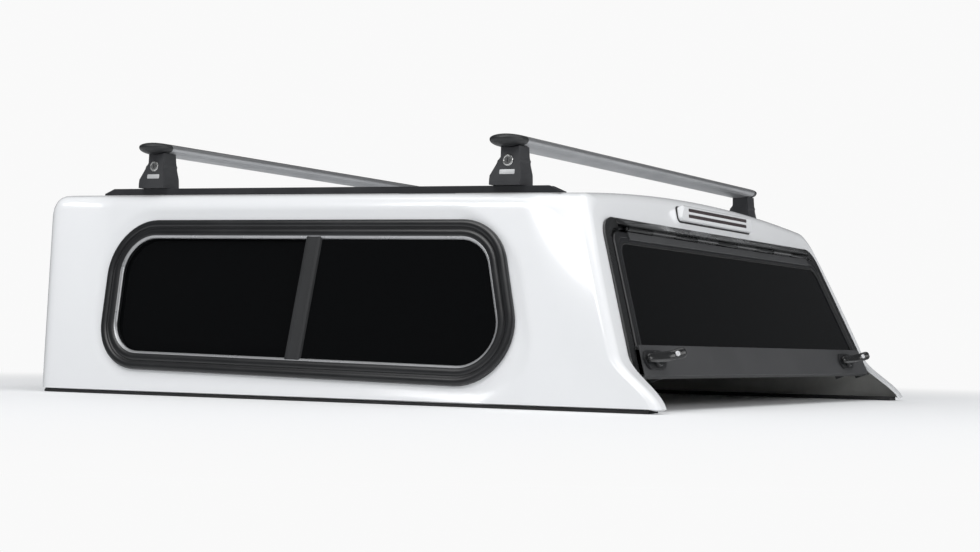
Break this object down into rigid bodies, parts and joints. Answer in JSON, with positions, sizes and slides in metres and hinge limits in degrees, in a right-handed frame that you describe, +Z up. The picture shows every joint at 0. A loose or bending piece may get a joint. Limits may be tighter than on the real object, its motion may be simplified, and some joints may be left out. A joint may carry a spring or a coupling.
{
  "type": "pickup truck canopy",
  "caption": "Hard canopy for a pickup bed: rounded shell with sliding side windows, lift-up rear glass door on gas struts, brake light and roof tracks with crossbars.",
  "frame": {"origin": "bottom centre of the canopy: z = 0 is the underside of the base seals, which rests on the bed rails", "axes": "+X to the right of the vehicle, +Y forward to the front wall, +Z up"},
  "size_m": [1.432, 1.4939, 0.5327],
  "materials": {
    "shell": "gloss gelcoat",
    "seal": "matt",
    "frame": "satin black",
    "glass": "dark tinted",
    "rail": "satin dark grey",
    "steel": "bright",
    "black_plastic": "fine grain",
    "lens": "smoked",
    "bar": "satin anodised",
    "foot": "satin"
  },
  "bodies": {
    "shell": {"roof": "shell", "left_side": "shell", "right_side": "shell", "front_wall": "shell", "rear_header": "shell", "left_rear_post": "shell", "right_rear_post": "shell", "left_base_seal": "seal", "right_base_seal": "seal", "front_base_seal": "seal", "left_window_frame": "frame", "left_window_sash": "frame", "left_fixed_glass": "glass", "left_sliding_glass": "glass", "right_window_frame": "frame", "right_window_sash": "frame", "right_fixed_glass": "glass", "right_sliding_glass": "glass", "window_latches": "black_plastic", "front_window_frame": "frame", "front_window_glass": "glass", "door_surround": "frame", "door_hinge_pin": "steel", "brake_light_housing": "shell", "brake_light_lens": "lens", "left_roof_track": "frame", "right_roof_track": "frame"},
    "rear_door": {"door_frame": "frame", "door_bottom_rail": "rail", "door_glass": "glass", "left_handle_base": "black_plastic", "right_handle_base": "black_plastic"},
    "left_handle": {"left_handle_lever": "black_plastic"},
    "right_handle": {"right_handle_lever": "black_plastic"},
    "left_strut_tube": {"left_strut_tube": "black_plastic"},
    "right_strut_tube": {"right_strut_tube": "black_plastic"},
    "left_strut_rod": {"left_strut_rod": "steel"},
    "right_strut_rod": {"right_strut_rod": "steel"},
    "front_rack": {"front_crossbar": "bar", "front_bar_caps": "black_plastic", "front_rack_feet": "foot", "front_foot_locks": "steel"},
    "rear_rack": {"rear_crossbar": "bar", "rear_bar_caps": "black_plastic", "rear_rack_feet": "foot", "rear_foot_locks": "steel"}
  },
  "joints": [
    {"name": "rear_door_hinge", "type": "hinge", "parent": "shell", "child": "rear_door", "pos_m": [0, -0.5741, 0.33712], "axis": [-1, 0, 0], "range_deg": [0, 75]},
    {"name": "left_handle_turn", "type": "hinge", "parent": "rear_door", "child": "left_handle", "pos_m": [-0.574, -0.67197, 0.09139], "axis": [0, -0.9304, 0.3665], "range_deg": [0, 90]},
    {"name": "right_handle_turn", "type": "hinge", "parent": "rear_door", "child": "right_handle", "pos_m": [0.49, -0.67197, 0.09139], "axis": [0, -0.9304, 0.3665], "range_deg": [0, 90]},
    {"name": "left_strut_pivot", "type": "hinge", "parent": "shell", "child": "left_strut_tube", "pos_m": [-0.511, -0.54835, 0.28292], "axis": [-1, 0, 0], "range_deg": [0, 76.26]},
    {"name": "left_strut_stroke", "type": "slide", "parent": "left_strut_tube", "child": "left_strut_rod", "axis": [0, -0.4082, -0.9129], "range_m": [0, 0.07348]},
    {"name": "right_strut_pivot", "type": "hinge", "parent": "shell", "child": "right_strut_tube", "pos_m": [0.511, -0.54835, 0.28292], "axis": [-1, 0, 0], "range_deg": [0, 76.26]},
    {"name": "right_strut_stroke", "type": "slide", "parent": "right_strut_tube", "child": "right_strut_rod", "axis": [0, -0.4082, -0.9129], "range_m": [0, 0.07348]},
    {"name": "front_rack_slide", "type": "slide", "parent": "shell", "child": "front_rack", "axis": [0, 0.9997, 0.0227], "range_m": [-0.15, 0.05]},
    {"name": "rear_rack_slide", "type": "slide", "parent": "shell", "child": "rear_rack", "axis": [0, 0.9997, 0.0227], "range_m": [-0.02, 0.15]}
  ],
  "couplings": [
    {"joint": "left_strut_pivot", "follows": "rear_door_hinge", "ratio": 1.0101},
    {"joint": "left_strut_stroke", "follows": "rear_door_hinge", "m_per_rad": 0.05575},
    {"joint": "right_strut_pivot", "follows": "rear_door_hinge", "ratio": 1.0101},
    {"joint": "right_strut_stroke", "follows": "rear_door_hinge", "m_per_rad": 0.05575}
  ]
}
